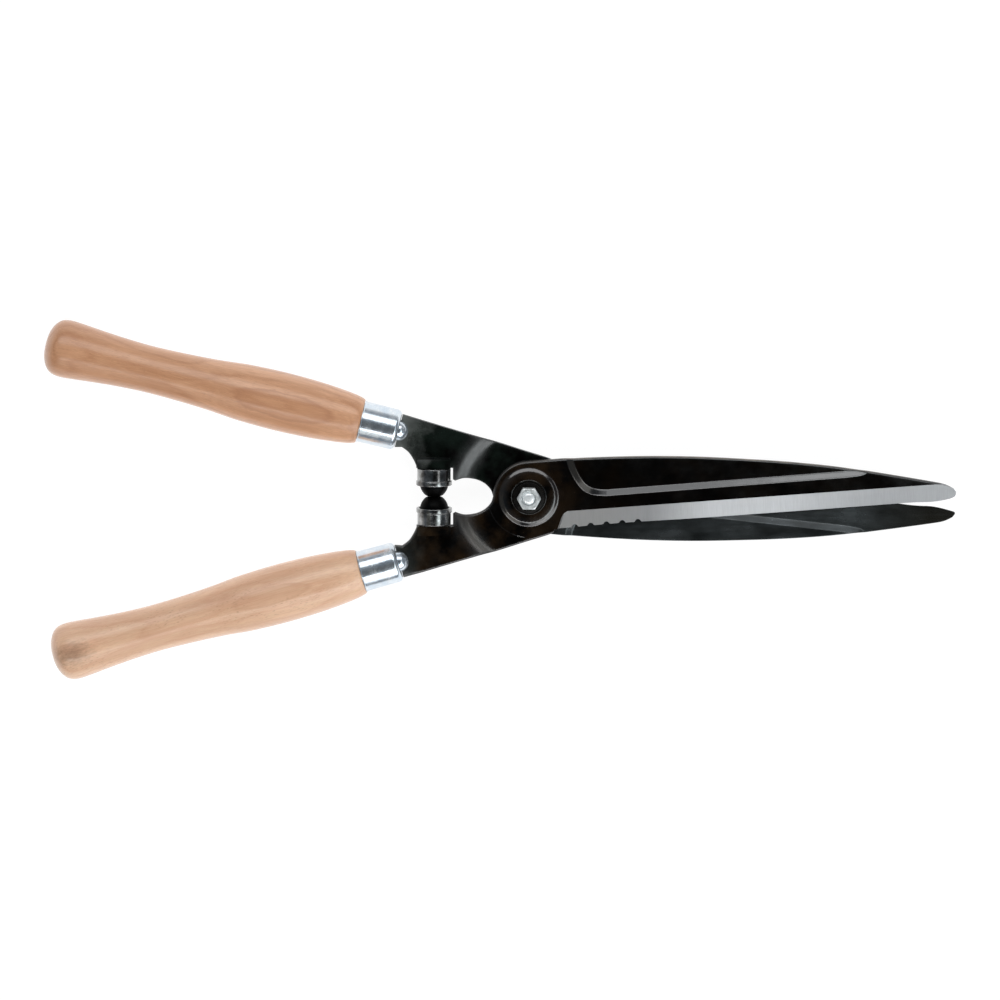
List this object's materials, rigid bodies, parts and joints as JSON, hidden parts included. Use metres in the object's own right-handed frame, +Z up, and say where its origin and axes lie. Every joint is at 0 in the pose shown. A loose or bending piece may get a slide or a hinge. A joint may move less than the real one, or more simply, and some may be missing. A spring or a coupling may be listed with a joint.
{
  "type": "hedge shears",
  "caption": "Manual hedge shears with long straight blades on a bolted pivot, turned wooden handles, plated ferrules and rubber buffers.",
  "frame": {"origin": "middle of the bottom of the closed shears' box, on the surface that they lie on", "axes": "+X along the shears towards the blade tips, +Y towards the rear half's handle, +Z up along the pivot bolt towards its nut"},
  "size_m": [0.5694, 0.227, 0.0368],
  "materials": {
    "black_steel": "gloss black lacquer over forged steel, with a bare ground bevel along the cutting edge",
    "beech": "turned beech, satin clear varnish",
    "plated_ferrule": "bright nickel plate on drawn steel",
    "plated_cup": "bright plate on pressed steel, slightly dulled",
    "zinc_fastener": "bright zinc plate",
    "black_washer": "blackened spring steel",
    "buffer_rubber": "moulded black rubber, satin"
  },
  "bodies": {
    "rear_half": {"rear_blade": "black_steel", "rear_handle": "beech", "rear_ferrule": "plated_ferrule", "rear_buffer_cup": "plated_cup", "rear_buffer": "buffer_rubber", "rear_buffer_screw": "zinc_fastener", "pivot_bolt": "zinc_fastener", "pivot_nut": "zinc_fastener", "flat_washer": "black_washer", "spring_washer": "black_washer"},
    "front_half": {"front_blade": "black_steel", "front_handle": "beech", "front_ferrule": "plated_ferrule", "front_buffer_cup": "plated_cup", "front_buffer": "buffer_rubber", "front_buffer_screw": "zinc_fastener"}
  },
  "joints": [
    {"name": "pivot", "type": "hinge", "parent": "rear_half", "child": "front_half", "pos_m": [0.01767, 0.00272, 0.0184], "axis": [0, 0, 1], "range_deg": [0, 60]}
  ]
}
